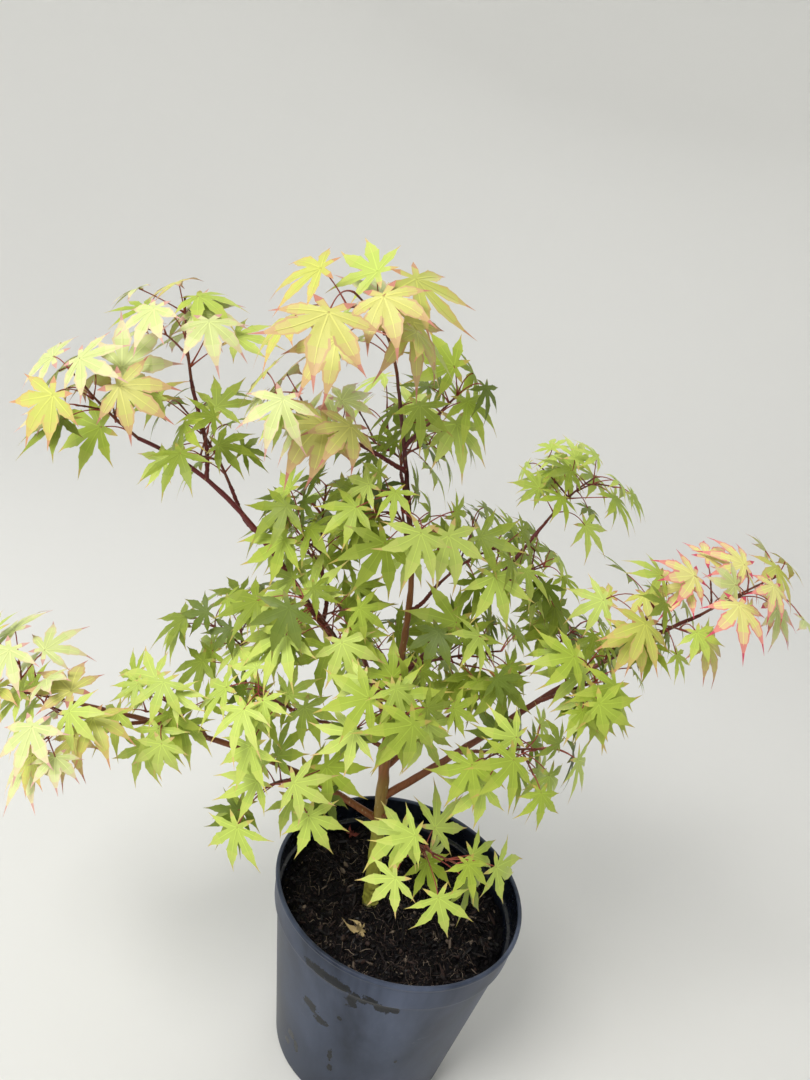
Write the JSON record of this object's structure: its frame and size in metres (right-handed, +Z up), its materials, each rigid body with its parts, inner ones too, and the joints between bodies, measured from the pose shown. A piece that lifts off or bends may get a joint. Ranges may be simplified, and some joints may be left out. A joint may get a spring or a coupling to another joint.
{
  "type": "potted maple",
  "caption": "Young ornamental maple in a round nursery pot: thin leaning trunk, long arching boughs and airy masses of star-shaped leaves over filled compost.",
  "frame": {"origin": "middle of the pot's flat underside, on the ground", "axes": "+Z up along the pot's axis; the plant is seen from -Y with +X on the right, so the two long low boughs reach towards -X and +X and the leader leans to -X"},
  "size_m": [0.5772, 0.3041, 0.5987],
  "materials": {
    "pot": "smooth, slightly glossy moulded plastic",
    "soil": "damp fibrous compost",
    "trunk_bark": "smooth young bark, green at the foot and brown above",
    "bough_bark": "smooth reddish young bark",
    "leaves": "thin lime green leaves with paler and pinker outer sprays"
  },
  "bodies": {
    "root": {"bough_arm_left_inner": "bough_bark", "bough_arm_left_outer": "bough_bark", "bough_arm_left_tip": "bough_bark", "bough_arm_right_inner": "bough_bark", "bough_arm_right_outer": "bough_bark", "bough_arm_right_tip": "bough_bark", "bough_back_left": "bough_bark", "bough_back_low": "bough_bark", "bough_back_right": "bough_bark", "bough_centre_high": "bough_bark", "bough_centre_left": "bough_bark", "bough_centre_left_high": "bough_bark", "bough_centre_right": "bough_bark", "bough_centre_right_high": "bough_bark", "bough_crown_back": "bough_bark", "bough_crown_left": "bough_bark", "bough_crown_right": "bough_bark", "bough_front_high": "bough_bark", "bough_front_left": "bough_bark", "bough_front_low": "bough_bark", "bough_front_right": "bough_bark", "bough_left_low": "bough_bark", "bough_left_mid": "bough_bark", "bough_spray_left_high": "bough_bark", "bough_spray_left_low": "bough_bark", "bough_spray_left_tip": "bough_bark", "bough_spray_right_high": "bough_bark", "bough_spray_right_low": "bough_bark", "leaves_arm_left_inner": "leaves", "leaves_arm_left_outer": "leaves", "leaves_arm_left_tip": "leaves", "leaves_arm_right_inner": "leaves", "leaves_arm_right_outer": "leaves", "leaves_arm_right_tip": "leaves", "leaves_back_left": "leaves", "leaves_back_low": "leaves", "leaves_back_right": "leaves", "leaves_centre_high": "leaves", "leaves_centre_left": "leaves", "leaves_centre_left_high": "leaves", "leaves_centre_right": "leaves", "leaves_centre_right_high": "leaves", "leaves_crown_back": "leaves", "leaves_crown_left": "leaves", "leaves_crown_right": "leaves", "leaves_crown_top": "leaves", "leaves_front_high": "leaves", "leaves_front_left": "leaves", "leaves_front_low": "leaves", "leaves_front_right": "leaves", "leaves_left_low": "leaves", "leaves_left_mid": "leaves", "leaves_spray_left_high": "leaves", "leaves_spray_left_low": "leaves", "leaves_spray_left_tip": "leaves", "leaves_spray_right_high": "leaves", "leaves_spray_right_low": "leaves", "pot": "pot", "soil": "soil", "trunk": "trunk_bark"}
  },
  "joints": []
}
